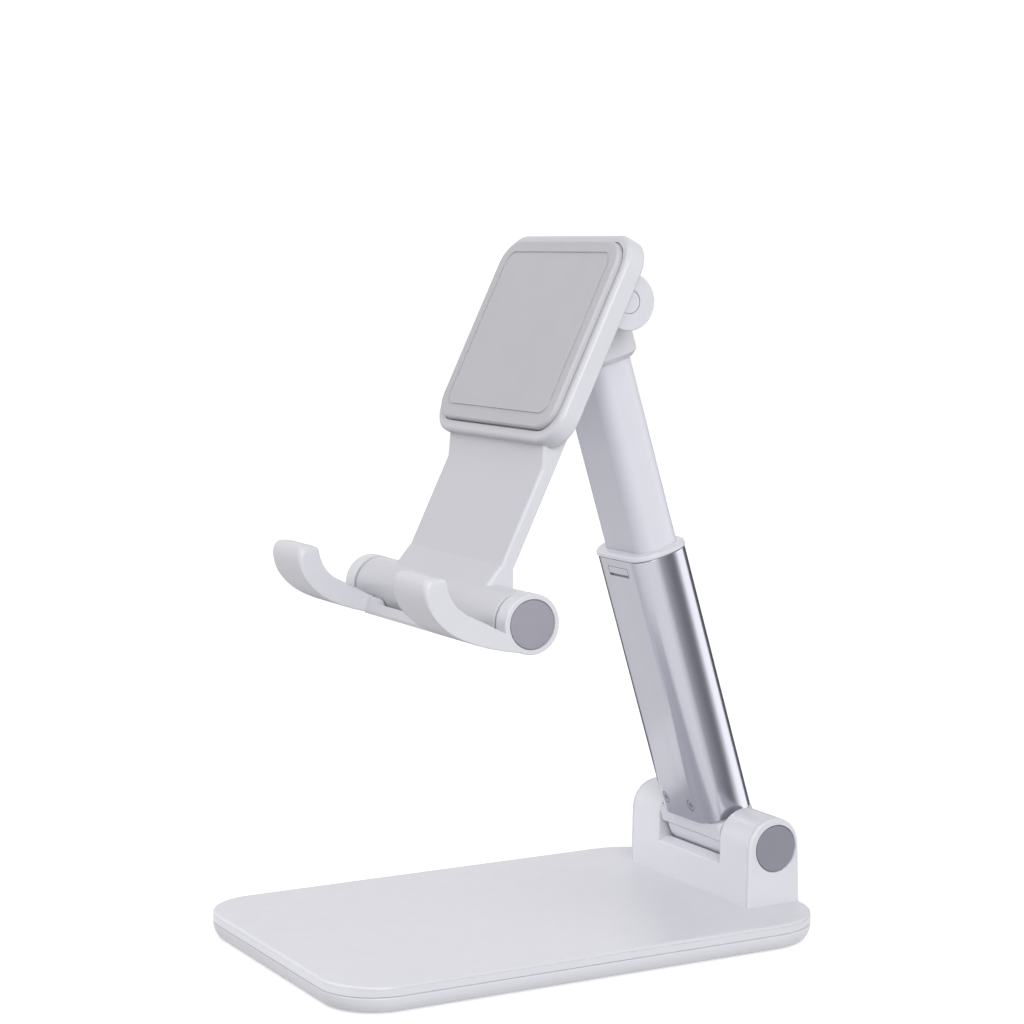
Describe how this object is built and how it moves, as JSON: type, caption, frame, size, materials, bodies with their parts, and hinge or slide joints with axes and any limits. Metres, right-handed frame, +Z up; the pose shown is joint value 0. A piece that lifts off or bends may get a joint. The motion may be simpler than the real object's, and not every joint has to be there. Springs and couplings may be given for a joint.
{
  "type": "phone stand",
  "caption": "Folding desk stand for a phone: weighted flat base, telescopic arm on a hinge block, tilting back rest and a folding pair of hooks.",
  "frame": {"origin": "middle of the base's underside, on the table", "axes": "+Z up, +X across to the right hook, -Y towards the user"},
  "size_m": [0.075, 0.113, 0.1467],
  "materials": {
    "white_shell": "satin gloss moulded, cool white",
    "white_tube": "satin white paint",
    "aluminium_tube": "satin anodised",
    "grey_cap": "matte mid grey",
    "silicone": "matte light grey silicone",
    "nylon": "natural",
    "steel": "plain"
  },
  "bodies": {
    "base": {"base_top_shell": "white_shell", "base_bottom_tray": "white_shell", "base_weight_plate": "steel", "base_anti_slip_mat": "silicone", "base_cover_screw_rear_right": "steel", "base_cover_screw_rear_left": "steel", "base_cover_screw_front_right": "steel", "base_cover_screw_front_left": "steel", "base_hinge_bolt": "steel", "base_hinge_nut": "steel", "base_hinge_cap_right": "grey_cap", "base_hinge_cap_left": "grey_cap", "base_hinge_washer_right": "steel", "base_hinge_washer_left": "steel"},
    "lower_arm": {"lower_knuckle": "white_shell", "lower_tube": "aluminium_tube", "lower_tube_screw_right": "steel", "lower_tube_screw_left": "steel", "lower_tube_collar": "white_shell"},
    "upper_arm": {"sliding_tube": "white_tube", "sliding_tube_shoe": "nylon", "slide_friction_spring": "steel", "arm_head": "white_shell"},
    "tray": {"tray_plate": "white_shell", "tray_rest_pad": "silicone", "tray_hinge_pin": "steel", "tray_hinge_plug_right": "white_shell", "tray_hinge_plug_left": "white_shell", "tray_hinge_washer_right": "steel", "tray_hinge_washer_left": "steel"},
    "hooks": {"hook_bar": "white_shell", "hook_pad_right": "silicone", "hook_pad_left": "silicone", "hook_hinge_pin": "steel", "hook_hinge_cap_right": "grey_cap", "hook_hinge_cap_left": "grey_cap", "hook_hinge_washer_right": "nylon", "hook_hinge_washer_left": "nylon"}
  },
  "joints": [
    {"name": "base_tilt", "type": "hinge", "parent": "base", "child": "lower_arm", "pos_m": [0, 0.0502, 0.0178], "axis": [1, 0, 0], "range_deg": [-30, 15]},
    {"name": "arm_slide", "type": "slide", "parent": "lower_arm", "child": "upper_arm", "axis": [0, -0.289, 0.9573], "range_m": [-0.0405, 0.0038]},
    {"name": "tray_tilt", "type": "hinge", "parent": "upper_arm", "child": "tray", "pos_m": [0, 0.01534, 0.13325], "axis": [1, 0, 0], "range_deg": [-120, 29]},
    {"name": "hook_fold", "type": "hinge", "parent": "tray", "child": "hooks", "pos_m": [0, -0.0157, 0.07212], "axis": [1, 0, 0], "range_deg": [-85, 0]}
  ]
}
